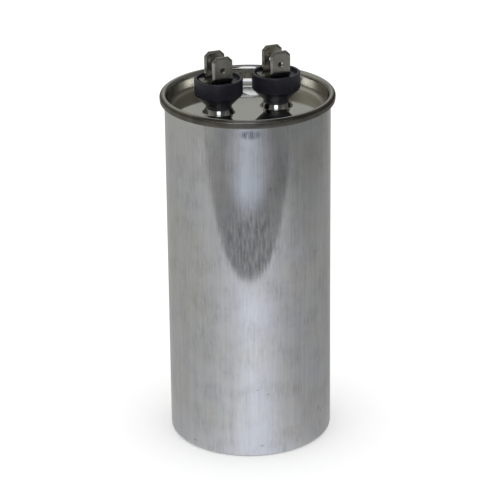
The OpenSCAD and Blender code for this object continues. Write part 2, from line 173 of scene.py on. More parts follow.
class CapacitorSheet(bpy.types.PropertyGroup):
    """Sizes of the can, the lid and the seam that joins them"""

    can_r: length("Can radius", CAN_R, "Outside radius of the can")
    can_t: length("Can sheet", 0.0004, "Thickness of the can's sheet")
    corner_r: length("Corner radius", 0.0013, "Outside radius of the can's bottom corner")
    seam_h: length("Seam height", 0.0026, "Height of the seam, measured on the outside")
    lid_t: length("Lid sheet", 0.0004, "Thickness of the lid's sheet")
    ply_gap: length("Layer gap", 0.00005, "Space between two neighbouring layers of the seam")
    hook_gap: length("Hook gap", 0.00012, "Space beyond the tip of each hook")
    compound_h: length("Compound height", 0.00015, "Height of the compound under the crown")
    lean: angle("Seam lean", radians(4), "Outward lean of the seam")
    lean_bend_r: length("Lean bend", 0.002, "Radius where the can's wall starts to lean")
    fillet_r: length("Panel fillet", 0.002, "Radius between the panel and the recess's wall")
    seat_h: length("Seat height", 0.0016, "Height of the raised seat under each terminal")
    seat_top_r: length("Seat ledge radius", 0.004, "Radius of the seat's flat top")
    seat_wall_h: length("Seat wall", 0.0013, "Height of the seat's straight wall")
    seat_wall_a: angle("Seat slope", radians(26), "Slope of the seat's wall")
    hole_r: length("Lid hole radius", 0.0024, "Radius of the hole under each bushing")
    edge_r: length("Pressed edge", 0.0002, "Radius on the edge of the seat's flat top")


class CapacitorTerminal(bpy.types.PropertyGroup):
    """Sizes of the bushings, the blades and the rivets"""

    cup_wall: length("Rim wall", 0.001, "Wall of the bushing's rim")
    cup_depth: length("Recess depth", 0.001, "Depth of the recess under the blades")
    cup_edge_r: length("Rim edge", 0.0003, "Radius on the edges of the bushing's rim")
    seat_z: length("Seat", PANEL_UNDER_Z + 0.002, "Height of the seat that the neck stands on")
    neck_r: length("Neck radius", 0.00385, "Radius of the bushing's neck")
    neck_h: length("Neck height", 0.0001, "Height of the neck's straight part")
    neck_fillet_r: length("Neck fillet", 0.0015, "Radius between the cone and the neck")
    cone_a: angle("Cone angle", radians(44), "Angle of the cone, from the vertical")
    shoulder_r: length("Shoulder", 0.0007, "Radius between the skirt and the cone")
    spigot_r: length("Spigot radius", 0.0023, "Radius of the spigot that passes through the lid")
    bore_r: length("Rivet hole radius", 0.00125, "Radius of the rivet's hole")
    blade_w: length("Blade width", 0.00635, "Width of a blade")
    blade_t: length("Blade thickness", 0.0008, "Thickness of the blades and their plate")
    blade_pitch: length("Blade pitch", 0.0065, "Distance between the middles of two blades")
    bend_r: length("Bend radius", 0.0008, "Inside radius of the bends")
    corner_cut: length("Corner cut", 0.0013, "Size of the cut across each top corner")
    bevel_w: length("Bevel width", 0.0007, "Width of the bevel along a blade's edges")
    bevel_t: length("Bevel depth", 0.0002, "Depth of the bevel on each face")
    latch_r: length("Latch hole radius", 0.0009, "Radius of the latching hole in a blade")
    latch_drop: length("Latch hole drop", 0.0042, "Distance of the latching hole from the tip")
    tongue_w: length("Tongue width", 0.0046, "Width of the plate's locating tongue")
    tongue_gap: length("Tongue gap", 0.0005, "Space between the tongue and the bushing's rim")
    turn: angle("Blade turn", radians(5), "Turn of the blades from the terminals' line")
    shank_r: length("Shank radius", 0.0012, "Radius of the rivet's shank")
    head_r: length("Head radius", 0.00195, "Radius of the rivet's head")
    head_h: length("Head height", 0.0009, "Height of the rivet's head")
    tail_r: length("Tail radius", 0.0023, "Radius of the rivet's closed end")
    tail_h: length("Tail height", 0.0007, "Thickness of the rivet's closed end")
    tail_bore_r: length("Tail bore", 0.0007, "Radius of the hollow in the rivet's closed end")
    tail_bore_h: length("Tail bore depth", 0.0023, "Depth of the hollow in the closed end")


class CapacitorFinish(bpy.types.PropertyGroup):
    """Colours and finishes that show on the outside"""

    can: colour("Can", (0.60, 0.61, 0.63), "Bare aluminium of the can")
    can_rough: share("Can roughness", 0.085, "How satin the can is")
    can_lines: share("Drawing lines", 0.5, "Strength of the can's vertical drawing lines")
    lid: colour("Lid", (0.56, 0.55, 0.51), "Tinplate of the lid and the seam")
    lid_rough: share("Lid roughness", 0.06, "How dull the tinplate is")
    bushing: colour("Bushing", (0.0135, 0.0135, 0.021), "Moulded plastic of the bushings")
    bushing_rough: share("Bushing roughness", 0.30, "How dull the bushings are")
    blade: colour("Blade", (0.50, 0.485, 0.43), "Tinned stamping of the blades")
    blade_rough: share("Blade roughness", 0.20, "How dull the blades are")
    rivet: colour("Rivet", (0.52, 0.49, 0.42), "Tinned rivets")


class CapacitorStage(bpy.types.PropertyGroup):
    """Camera, floor and soft light"""

    camera_turn: angle("Camera turn", radians(-16.8), "Side from which the camera looks")
    camera_height: angle("Camera height", radians(21.99), "Elevation of the camera")
    camera_far: length("Camera distance", 0.7677, "Distance from the aimed point to the camera")
    aim_z: length("Aim height", 0.07, "Height of the aimed point on the can's axis")
    lens: FloatProperty(name="Lens", description="Focal length in millimetres", default=180.7)
    pan: angle("Pan", radians(0.02), "Turn of the camera to the right of the aimed point")
    tilt: angle("Tilt", radians(-0.79), "Tilt of the camera above the aimed point")
    roll: angle("Roll", radians(-0.58), "Roll of the camera")
    floor_size: length("Floor size", 6.0, "Side of the square floor")
    world_strength: share("Surrounding light", 1.0, "Strength of the white surroundings")


# ---- shapes


def arc(x, z, radius, start, end, steps=12):
    """Points on a circle about (x, z) of the given radius, from one angle to another in
    equal steps: x + radius cos(a), z + radius sin(a)."""
    a = np.linspace(start, end, steps + 1)
    return np.column_stack([x + radius * np.cos(a), z + radius * np.sin(a)])


def side(bends, offset):
    """The face of a folded sheet that lies offset to the left of its middle line. Each
    bend is (x, z, radius, start, end); a radius of 0 is an end of the sheet."""
    runs = []
    for x, z, radius, start, end in bends:
        way = 1 if end >= start else -1
        steps = 12 if end != start else 0
        runs.append(arc(x, z, radius - way * offset, start, end, steps))
    return np.vstack(runs)


def sheet(bends, half):
    """Outline of a folded sheet: along its one face and back along the other."""
    return np.vstack([side(bends, half), side(bends, -half)[::-1]])


def ring_grid(profile, turns, x=0.0):
    """Carries a profile of (radius, z) points round the vertical axis at x: the point at
    turn k is (x + radius cos(a), radius sin(a), z) with a = 2 pi k / turns. Returns a grid
    whose columns close on themselves."""
    a = np.arange(turns) * 2 * np.pi / turns
    r, z = profile[:, 0, None], profile[:, 1, None]
    return np.stack([x + r * np.cos(a), r * np.sin(a), z + 0 * a], axis=-1)


def quads(rows, columns, wrap_rows, wrap_columns):
    """Corner numbers of the faces between neighbouring grid points."""
    i = np.arange(rows if wrap_rows else rows - 1)[:, None]
    j = np.arange(columns if wrap_columns else columns - 1)[None, :]
    i1, j1 = (i + 1) % rows, (j + 1) % columns
    corners = [i * columns + j, i * columns + j1, i1 * columns + j1, i1 * columns + j]
    return np.stack(corners, axis=-1).reshape(-1, 4)


def weld(name, points, faces, sharp=radians(35)):
    """A mesh of the given points and four-cornered faces, with points that coincide made
    one, faces without area taken away, and all faces turned outwards."""
    mesh = bpy.data.meshes.new(name)
    mesh.from_pydata(points.tolist(), [], faces.tolist(), shade_flat=False)
    shape = bmesh.new()
    shape.from_mesh(mesh)
    bmesh.ops.remove_doubles(shape, verts=shape.verts, dist=1e-7)
    bmesh.ops.recalc_face_normals(shape, faces=shape.faces)
    shape.to_mesh(mesh)
    open_edges = sum(1 for edge in shape.edges if len(edge.link_faces) != 2)
    shape.free()
    if open_edges:
        raise RuntimeError(f"{name} has {open_edges} open edges")
    mesh.set_sharp_from_angle(angle=sharp)
    return mesh


def join_grids(grids):
    """Points and faces of several grids, each given as (grid, wrap_rows). All of them
    close on themselves across their columns."""
    points, faces, first = [], [], 0
    for grid, wrap_rows in grids:
        rows, columns = grid.shape[:2]
        points.append(grid.reshape(-1, 3))
        faces.append(quads(rows, columns, wrap_rows, True) + first)
        first += rows * columns
    return np.vstack(points), np.vstack(faces)


def turned(name, profile, turns, x=0.0, closed=False):
    """A mesh of a profile carried round the vertical axis at x. A closed profile joins its
    own ends; another one begins and ends on the axis."""
    return weld(name, *join_grids([(ring_grid(profile, turns, x), closed)]))


def added(name, data):
    """A new object in the scene."""
    thing = bpy.data.objects.new(name, data)
    bpy.context.scene.collection.objects.link(thing)
    return thing


def add_piece(mesh, node, material):
    """Puts a piece in the scene in place of a node, with its finish."""
    piece = added(mesh.name, mesh)
    mesh.materials.append(material)
    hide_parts(node)
    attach(piece, "root")


def seam_lines(s):
    """Radii of the seam's layers at its foot, on the middle line of each sheet, and the
    radii and heights of its bends and tips."""
    lid_half, can_half = s.lid_t / 2, s.can_t / 2
    q = SimpleNamespace()
    q.can_wall = s.can_r - can_half
    q.cover_hook = s.can_r + s.ply_gap + lid_half
    q.body_hook = q.cover_hook + lid_half + s.ply_gap + can_half
    seaming_wall = q.body_hook + can_half + s.ply_gap + lid_half
    q.chuck_wall = s.can_r - s.can_t - s.ply_gap - lid_half
    q.crown_r = (seaming_wall - q.chuck_wall) / 2
    q.body_bend_r = (q.body_hook - q.can_wall) / 2
    q.cover_bend_r = (seaming_wall - q.cover_hook) / 2
    q.foot_z = RIM_Z - s.seam_h
    body_top = RIM_Z - s.lid_t - s.compound_h
    q.crown_z = RIM_Z - lid_half - q.crown_r
    q.body_bend_z = body_top - can_half - q.body_bend_r
    q.cover_bend_z = q.foot_z + lid_half + q.cover_bend_r
    q.cover_tip_z = body_top - s.can_t - s.hook_gap
    q.body_tip_z = q.foot_z + s.lid_t + s.hook_gap
    return q


def leaned(s, q, r, z):
    """The place at height z of a line that leans with the seam: its radius r at the seam's
    foot, moved outwards by the height over the foot times the lean's tangent."""
    across = (r - q.can_wall) / cos(s.lean)
    return q.can_wall + across + (z - q.foot_z) * tan(s.lean), z


def can_mesh(s):
    """The can's sheet, carried round the axis: flat floor, corner, straight wall, lean,
    and the body hook turned over at the top. The floor's middle is a pole on each face."""
    q = seam_lines(s)
    half, lean = s.can_t / 2, s.lean
    lean_z = q.foot_z - s.lean_bend_r * tan(lean / 2)
    bends = [
        (0, half, 0, -pi / 2, -pi / 2),
        (s.can_r - s.corner_r, s.corner_r, s.corner_r - half, -pi / 2, 0),
        (q.can_wall + s.lean_bend_r, lean_z, s.lean_bend_r, pi, pi - lean),
        (*leaned(s, q, q.cover_hook, q.body_bend_z), q.body_bend_r, pi - lean, -lean),
        (*leaned(s, q, q.body_hook, q.body_tip_z), 0, pi - lean, pi - lean),
    ]
    return turned("drawn_can", sheet(bends, half), CAN_TURNS)


def panel_half(hand, rows, rim_r):
    """Half of the lid's panel, as spokes about its terminal. A spoke runs through rows of
    (radius, z) points about the terminal, and its two ends lie on the panel's outline:
    the circle of radius rim_r on the outer side, the middle line x = 0 on the inner one."""
    a = np.pi / 2 + np.arange(CAN_TURNS // 2 + 1) * 2 * np.pi / CAN_TURNS
    outer = np.column_stack([rim_r * np.cos(a), rim_r * np.sin(a)])
    middle_y = np.linspace(outer[-1, 1], outer[0, 1], 65)[1:-1]
    ends = np.vstack([outer, np.column_stack([0 * middle_y, middle_y])])
    ends[np.abs(ends) < 1e-9] = 0
    centre = np.array([-TERMINAL_X, 0])
    spokes = (ends - centre) / np.linalg.norm(ends - centre, axis=1)[:, None]
    grid = np.empty((len(rows) + 2, len(ends), 3))
    grid[0, :, :2] = grid[-1, :, :2] = ends
    grid[0, :, 2], grid[-1, :, 2] = rows[0, 1], rows[-1, 1]
    grid[1:-1, :, :2] = centre + rows[:, 0, None, None] * spokes
    grid[1:-1, :, 2] = rows[:, 1, None]
    grid[..., 0] *= -hand
    return grid


def seat_rows(s, panel_z):
    """Points of (radius, z) across a raised seat and its hole: inwards along the underside,
    over the foot's fillet and the sloped wall, up the hole, and outwards along the top,
    over its rounded edge, the wall and the fillet."""
    seat_z, e = panel_z + s.seat_h, s.edge_r
    slope = s.seat_wall_a
    foot_r = (s.seat_h - s.seat_wall_h) / (1 - sin(slope))
    foot_x = s.seat_top_r + s.seat_wall_h * tan(slope) + foot_r * cos(slope)
    beyond_foot = foot_x + 0.0003
    lap = e * tan((pi / 2 - slope) / 2)
    under_x = foot_x - (foot_r + s.lid_t) * cos(slope)
    under_z = panel_z + foot_r - (foot_r + s.lid_t) * sin(slope)
    inner_x = under_x - (seat_z - s.lid_t - under_z) * tan(slope)
    return np.vstack(
        [
            [[beyond_foot, PANEL_UNDER_Z]],
            arc(foot_x, panel_z + foot_r, foot_r + s.lid_t, 1.5 * pi, pi + slope, 8),
            [[inner_x, seat_z - s.lid_t], [s.hole_r, seat_z - s.lid_t], [s.hole_r, seat_z]],
            arc(s.seat_top_r - lap, seat_z - e, e, pi / 2, slope, 5),
            arc(foot_x, panel_z + foot_r, foot_r, pi + slope, 1.5 * pi, 10),
            [[beyond_foot, panel_z]],
        ]
    )


def lid_mesh(s):
    """The lid's sheet: the panel as two halves with their raised seats and holes, and from
    its edge a profile carried round the axis: fillet, leaning wall, crown, seaming wall
    and the cover hook turned up inside the seam."""
    q = seam_lines(s)
    half, lean = s.lid_t / 2, s.lean
    panel_z = PANEL_UNDER_Z + s.lid_t
    fillet_z = panel_z - half + s.fillet_r
    rim_r, _ = leaned(s, q, q.chuck_wall - s.fillet_r, fillet_z)
    bends = [
        (rim_r, fillet_z, s.fillet_r, -pi / 2, -lean),
        (*leaned(s, q, q.cover_hook, q.crown_z), q.crown_r, pi - lean, -lean),
        (*leaned(s, q, q.body_hook, q.cover_bend_z), q.cover_bend_r, -lean, -pi - lean),
        (*leaned(s, q, q.cover_hook, q.cover_tip_z), 0, -lean, -lean),
    ]
    rows = seat_rows(s, panel_z)
    grids = [(ring_grid(sheet(bends, half), CAN_TURNS), False)]
    grids += [(panel_half(hand, rows, rim_r), False) for hand in HANDS.values()]
    return weld("seamed_lid", *join_grids(grids))


def bushing_mesh(t, name, hand):
    """The bushing's outline carried round the terminal's axis: spigot, seat, straight
    neck, fillet, cone, shoulder, skirt, rounded rim and the recess for the plate."""
    r = BUSHING_R
    plate_z = CUP_Z - t.cup_depth
    cup_r = r - t.cup_wall
    radii = t.shoulder_r + t.neck_fillet_r
    cone_l = (r - t.neck_r - radii * (1 - cos(t.cone_a))) / sin(t.cone_a)
    neck_top_z = t.seat_z + t.neck_h
    shoulder_z = neck_top_z + radii * sin(t.cone_a) + cone_l * cos(t.cone_a)
    e, foot_r = t.cup_edge_r, 0.0002
    profile = np.vstack(
        [
            [[t.bore_r, SPIGOT_Z], [t.spigot_r, SPIGOT_Z]],
            [[t.spigot_r, t.seat_z], [t.neck_r, t.seat_z]],
            arc(t.neck_r + t.neck_fillet_r, neck_top_z, t.neck_fillet_r, pi, pi - t.cone_a),
            arc(r - t.shoulder_r, shoulder_z, t.shoulder_r, -t.cone_a, 0),
            arc(r - e, CUP_Z - e, e, 0, pi / 2),
            arc(cup_r + e, CUP_Z - e, e, pi / 2, pi),
            arc(cup_r - foot_r, plate_z + foot_r, foot_r, 0, -pi / 2, 6),
            [[t.bore_r, plate_z]],
        ]
    )
    return turned(name, profile, 192, hand * TERMINAL_X, closed=True)


def rivet_mesh(t, name, hand):
    """The rivet's outline carried round its axis: a domed head with a rounded edge, the
    shank, the spread tail and the hollow in it, with a pole at the top of the head and
    one at the top of the hollow."""
    e = 0.00015
    plate_top = RIVET_TOP_Z - t.head_h
    dome_r = ((t.head_h - e) ** 2 + (t.head_r - e) ** 2) / (2 * (t.head_h - e))
    centre_z = RIVET_TOP_Z - dome_r
    start = asin((plate_top + e - centre_z) / dome_r)
    hollow_z = RIVET_TAIL_Z + t.tail_bore_h
    profile = np.vstack(
        [
            arc(0, centre_z, dome_r, pi / 2, start, 16),
            arc(t.head_r - e, plate_top + e, e, start, -pi / 2, 6),
            [[t.shank_r, plate_top], [t.shank_r, RIVET_TAIL_Z + t.tail_h]],
            [[t.tail_r, RIVET_TAIL_Z], [t.tail_bore_r, RIVET_TAIL_Z]],
            [[t.tail_bore_r, hollow_z], [0, hollow_z]],
        ]
    )
    return turned(name, profile, 96, hand * TERMINAL_X)


def steps_between(stops, spacing):
    """Numbers that go through all the stops, with equal steps of about the spacing, or of
    a given count, between each two. Stops are (value, count to the next or None)."""
    parts = []
    for (start, count), (end, _) in zip(stops, stops[1:]):
        n = count or max(1, round((end - start) / spacing))
        parts.append(np.linspace(start, end, n + 1)[:-1])
    return np.concatenate([*parts, [stops[-1][0]]])


def strip_sizes(t):
    """Lengths of the stamped strip along it, from one tip over the plate to the other, and
    its bends."""
    p = SimpleNamespace(half=t.blade_t / 2)
    p.bend = t.bend_r + p.half
    p.plate_z = CUP_Z - t.cup_depth
    p.straight = TIP_Z - p.plate_z - t.blade_t - t.bend_r
    p.quarter = p.bend * pi / 2
    p.flat = t.blade_pitch - 2 * p.bend
    p.total = 2 * (p.straight + p.quarter) + p.flat
    p.middle = p.total / 2
    return p


def strip_grid(t, p):
    """The strip laid flat, as a grid of s along it and u across. The outer columns follow
    the outline: the corner cuts near each tip, the blades' sides, and the tongue beside
    the plate, which reaches to a circle inside the cup. The grid's lines lie closer round
    the holes and along the edges."""
    a, b, edge_steps = RING_IN, RING_OUT, 6
    inner, tongue = t.blade_w / 2 - t.bevel_w, t.tongue_w / 2
    stops = [
        (0, edge_steps), (t.bevel_w, None), (t.corner_cut, None),
        (t.latch_drop - b, 6), (t.latch_drop - a, 12), (t.latch_drop + a, 6),
        (t.latch_drop + b, None), (p.straight, 10),
        (p.straight + p.quarter - (tongue - p.flat / 2) - TONGUE_STEP, 1),
        (p.middle - tongue, 2), (p.middle - b, 6), (p.middle - a, 12),
    ]
    counts = [count for _, count in stops]
    mirrored = [(p.total - stops[i][0], counts[i - 1]) for i in range(len(stops) - 1, 0, -1)]
    s = steps_between([*stops, *mirrored, (p.total, None)], STRIP_SPACING)[:, None]
    over = [
        (-1.0, edge_steps), (-inner, 4), (-b, 6), (-a, 12),
        (a, 6), (b, 4), (inner, edge_steps), (1.0, None),
    ]
    across = steps_between(over, 1)[None, :]
    cut = np.clip(t.corner_cut - np.minimum(s, p.total - s), 0, None)
    cup_r = BUSHING_R - t.cup_wall
    reach = np.sqrt(np.clip((cup_r - t.tongue_gap) ** 2 - (s - p.middle) ** 2, 0, None))
    right = t.blade_w / 2 - cut
    left = np.where(np.abs(s - p.middle) <= tongue + TONGUE_STEP / 2, reach, right)
    shrink = right / (t.blade_w / 2)
    edge = (np.abs(across) - inner) / (1 - inner)
    bound = np.where(across < 0, left, right)
    band = inner * shrink + np.clip(edge, 0, 1) * (bound - inner * shrink)
    u = np.where(np.abs(across) <= inner, across * shrink, np.sign(across) * band)
    return np.broadcast_to(s, u.shape).copy(), u


def open_holes(t, p, s, u):
    """Turns the grid's square rings round each hole, between the half sides a and b, into
    circles towards the hole. Returns the grid and which of its points lie in a hole."""
    a, b = RING_IN, RING_OUT
    hole = np.zeros(u.shape, bool)
    latch, other = t.latch_drop, p.total - t.latch_drop
    for place, radius in ((latch, t.latch_r), (p.middle, t.bore_r), (other, t.latch_r)):
        along = s - place
        m = np.maximum(np.abs(along), np.abs(u))
        near = (m < b * 0.99999) & (m > a * 0.999)
        way = np.clip((m - a) / (b - a), 0, 1)
        norm = np.where(near, np.hypot(along, u), 1)
        scale = np.where(near, (1 - way) * radius / norm + way * b / np.where(near, m, 1), 1)
        hole |= m < a * 0.999
        s = np.where(near, place + along * scale, s)
        u = np.where(near, u * scale, u)
    return s, u, hole


def half_thickness(t, p, s, u):
    """The sheet's half, less a bevel that falls with the distance to the blade's edge and
    fades out before the bend."""
    from_tip = np.minimum(s, p.total - s)
    to_side = t.blade_w / 2 - np.abs(u)
    to_cut = (to_side + from_tip - t.corner_cut) / sqrt(2)
    to_edge = np.clip(np.minimum(np.minimum(to_side, from_tip), to_cut), 0, t.bevel_w)
    fade = np.clip((p.straight - from_tip) / BEVEL_FADE, 0, 1)
    bevel = t.bevel_t * (1 - to_edge / t.bevel_w) * fade * fade * (3 - 2 * fade)
    return p.half - bevel


def folded(t, p, s, u, n, hand):
    """Where the strip's points come to lie, with n the distance towards its inside. The
    line of s goes down a blade, round a quarter circle, across the plate and up the other
    blade, and all of it is turned about the terminal's axis."""
    d = np.abs(s - p.middle)
    turn = np.clip((d - p.flat / 2) / p.bend, 0, pi / 2)
    rise = np.clip(d - p.flat / 2 - p.quarter, 0, None)
    y = np.minimum(d, p.flat / 2) + (p.bend - n) * np.sin(turn)
    z = p.bend - (p.bend - n) * np.cos(turn) + rise
    y = np.where(s < p.middle, -y, y)
    c, w = cos(t.turn), sin(t.turn)
    x = hand * TERMINAL_X + u * c - y * w
    return np.stack([x, u * w + y * c, p.plate_z + p.half + z], axis=-1).reshape(-1, 3)


def blade_mesh(t, name, hand):
    """A stamped strip, worked out flat and then folded: its two faces without the holes,
    and walls along each edge that only one face of the grid has."""
    p = strip_sizes(t)
    s, u, hole = open_holes(t, p, *strip_grid(t, p))
    thick = half_thickness(t, p, s, u)
    points = np.vstack([folded(t, p, s, u, n, hand) for n in (thick, -thick)])
    faces = quads(*u.shape, False, False)
    faces = faces[~hole.ravel()[faces].any(axis=1)]
    edges = np.vstack([faces[:, [0, 1]], faces[:, [1, 2]], faces[:, [2, 3]], faces[:, [3, 0]]])
    keys = np.sort(edges, axis=1)
    _, index, used = np.unique(keys, axis=0, return_index=True, return_counts=True)
    border = edges[index[used == 1]]
    walls = np.column_stack([border, border[:, ::-1] + u.size])
    every = np.vstack([faces, faces[:, ::-1] + u.size, walls])
    kept, every = np.unique(every, return_inverse=True)
    return weld(name, points[kept], every.reshape(-1, 4), sharp=radians(22))


# ---- finishes


def join(tree, socket, value):
    """Links a value to a socket, or sets the socket to it."""
    if isinstance(value, bpy.types.NodeSocket):
        tree.links.new(value, socket)
    elif socket.type == "RGBA":
        socket.default_value = (*value[:3], 1)
    else:
        socket.default_value = value


def put(tree, kind, inputs=None, **settings):
    """A node of the given kind with its settings, and its inputs joined or set."""
    node = tree.nodes.new(kind)
    for name, value in settings.items():
        setattr(node, name, value)
    for name, value in (inputs or {}).items():
        join(tree, node.inputs[name], value)
    return node


def calc(tree, operation, *values, clamp=False):
    """Result of one operation on single values."""
    inputs = dict(enumerate(values))
    node = put(tree, "ShaderNodeMath", inputs, operation=operation, use_clamp=clamp)
    return node.outputs[0]


def times(tree, first, second):
    """Product of two values."""
    return calc(tree, "MULTIPLY", first, second)


def sum_of(tree, value, factor, plus):
    """value times a factor, plus another value."""
    return calc(tree, "MULTIPLY_ADD", value, factor, plus)


def vector(tree, operation, first, second):
    """Result of one operation on two vectors."""
    node = put(tree, "ShaderNodeVectorMath", {0: first, 1: second}, operation=operation)
    return node.outputs[0]


def scaled(tree, value, factor):
    """A colour times a factor."""
    inputs = {0: value, "Scale": factor}
    return put(tree, "ShaderNodeVectorMath", inputs, operation="SCALE").outputs[0]


def length_of(tree, value):
    """Length of a vector."""
    return put(tree, "ShaderNodeVectorMath", {0: value}, operation="LENGTH").outputs["Value"]


def xyz(tree, x, y, z):
    """A vector of three values."""
    return put(tree, "ShaderNodeCombineXYZ", {"X": x, "Y": y, "Z": z}).outputs[0]


def places(tree):
    """The object coordinates, apart as X, Y and Z."""
    place = put(tree, "ShaderNodeTexCoord").outputs["Object"]
    return put(tree, "ShaderNodeSeparateXYZ", {0: place}).outputs


def off_axis(tree, apart):
    """Distance from the vertical axis."""
    return length_of(tree, xyz(tree, apart["X"], apart["Y"], 0.0))


def blend(tree, factor, first, second):
    """Colour that goes from the first to the second with the factor."""
    inputs = {0: factor, 6: first, 7: second}
    return put(tree, "ShaderNodeMix", inputs, data_type="RGBA").outputs[2]


def range_of(tree, value, low_end, high_end, first=0.0, last=1.0):
    """value spread so that low_end gives first and high_end gives last, held there."""
    ends = {"From Min": low_end, "From Max": high_end, "To Min": first, "To Max": last}
    return put(tree, "ShaderNodeMapRange", {"Value": value, **ends}).outputs["Result"]


def step(tree, value, middle, soft):
    """0 below the middle and 1 above it, with a soft change between."""
    return range_of(tree, value, middle - soft, middle + soft)


def within(tree, value, first, last, soft):
    """1 between two values and 0 outside them, with soft changes."""
    falling = range_of(tree, value, last + soft, last - soft)
    return times(tree, step(tree, value, first, soft), falling)


def ramp(tree, factor, stops):
    """Colour that goes through the stops (place from 0 to 1, red, green, blue)."""
    node = put(tree, "ShaderNodeValToRGB", {"Fac": factor})
    elements = node.color_ramp.elements
    while len(elements) < len(stops):
        elements.new(0.5)
    for element, (place, *value) in zip(elements, stops):
        element.position = place
        element.color = (*value, 1)
    return node.outputs["Color"]


def noise(tree, place, scale, detail, roughness):
    """Value of a noise at a place."""
    inputs = {"Vector": place, "Scale": scale, "Detail": detail, "Roughness": roughness}
    return put(tree, "ShaderNodeTexNoise", inputs).outputs["Fac"]


def effect(name, *sockets):
    """Turns a function that fills a shader group, given its tree, its inputs and the object
    coordinates, into one that places the group with its own values. The first use makes it."""

    def wrap(build):
        def placed(tree, **values):
            if name not in bpy.data.node_groups:
                made = bpy.data.node_groups.new(name, "ShaderNodeTree")
                ways = {**dict.fromkeys(sockets, "INPUT"), "Value": "OUTPUT"}
                for socket, way in ways.items():
                    made.interface.new_socket(socket, in_out=way, socket_type="NodeSocketFloat")
                given = made.nodes.new("NodeGroupInput").outputs
                place = put(made, "ShaderNodeTexCoord").outputs["Object"]
                put(made, "NodeGroupOutput", {0: build(made, given, place)})
            group = bpy.data.node_groups[name]
            return put(tree, "ShaderNodeGroup", values, node_tree=group).outputs[0]

        return placed

    return wrap


@effect("Drawn Lines", "Across", "Along", "Contrast")
def lines(tree, given, place):
    """Long narrow streaks along Z: a noise that is fine across and long along."""
    stretch = xyz(tree, given["Across"], given["Across"], given["Along"])
    value = noise(tree, vector(tree, "MULTIPLY", place, stretch), 1.0, 4.0, 0.6)
    centred = calc(tree, "SUBTRACT", value, 0.5)
    return calc(tree, "MULTIPLY_ADD", centred, given["Contrast"], 0.5, clamp=True)


@effect("Handling Smudges", "Scale", "Low", "High")
def smudges(tree, given, place):
    """Soft uneven patches: a noise, spread between two of its values."""
    value = noise(tree, place, given["Scale"], 3.0, 0.55)
    return range_of(tree, value, given["Low"], given["High"])


@effect("Small Marks", "Scale", "Length", "Size", "Share")
def marks(tree, given, place):
    """Sparse small marks: the near points of a stretched cell pattern, kept in a share of
    the cells."""
    squeeze = calc(tree, "DIVIDE", 1.0, given["Length"])
    place = vector(tree, "MULTIPLY", place, xyz(tree, 1.0, 1.0, squeeze))
    inputs = {"Vector": place, "Scale": given["Scale"], "Randomness": 1.0}
    cells = put(tree, "ShaderNodeTexVoronoi", inputs).outputs
    near = range_of(tree, cells["Distance"], given["Size"], 0.02)
    lot = put(tree, "ShaderNodeSeparateColor", {"Color": cells["Color"]}).outputs[0]
    return times(tree, near, calc(tree, "LESS_THAN", lot, given["Share"]))


@effect("Worn Spot", "X", "Y", "Z", "Wide", "Tall", "Core")
def worn_spot(tree, given, place):
    """One soft spot: the distance to its middle, in its half widths and half heights."""
    middle = xyz(tree, given["X"], given["Y"], given["Z"])
    size = xyz(tree, given["Wide"], given["Wide"], given["Tall"])
    apart = vector(tree, "DIVIDE", vector(tree, "SUBTRACT", place, middle), size)
    return range_of(tree, length_of(tree, apart), 1.0, given["Core"])


def spot(tree, turn, rise, wide, tall, core=0.4):
    """A worn spot on the can's wall, at a bearing in degrees from the front and a height."""
    turn = radians(turn)
    x, y = CAN_R * sin(turn), -CAN_R * cos(turn)
    return worn_spot(tree, X=x, Y=y, Z=rise, Wide=wide, Tall=tall, Core=core)


def start(name, kind="ShaderNodeBsdfPrincipled"):
    """A new material and its node tree with a shader and an output."""
    material = bpy.data.materials.new(name)
    material.use_nodes = True
    tree = material.node_tree
    tree.nodes.clear()
    shader = tree.nodes.new(kind)
    put(tree, "ShaderNodeOutputMaterial", {"Surface": shader.outputs[0]})
    return material, tree, shader


def dress(tree, shader, base, rough, height=None, depth=0.0, **constants):
    """Joins a colour, a roughness and a bump of the given depth in metres to the shader,
    and sets its constants."""
    join(tree, shader.inputs["Base Color"], base)
    join(tree, shader.inputs["Roughness"], rough)
    for socket, value in constants.items():
        shader.inputs[socket.replace("_", " ")].default_value = value
    if height is not None:
        bump = put(tree, "ShaderNodeBump", {"Height": height, "Strength": 1.0, "Distance": depth})
        tree.links.new(bump.outputs[0], shader.inputs["Normal"])


def shade(base, factor):
    """A colour made lighter or darker."""
    return tuple(min(1.0, c * factor) for c in base)


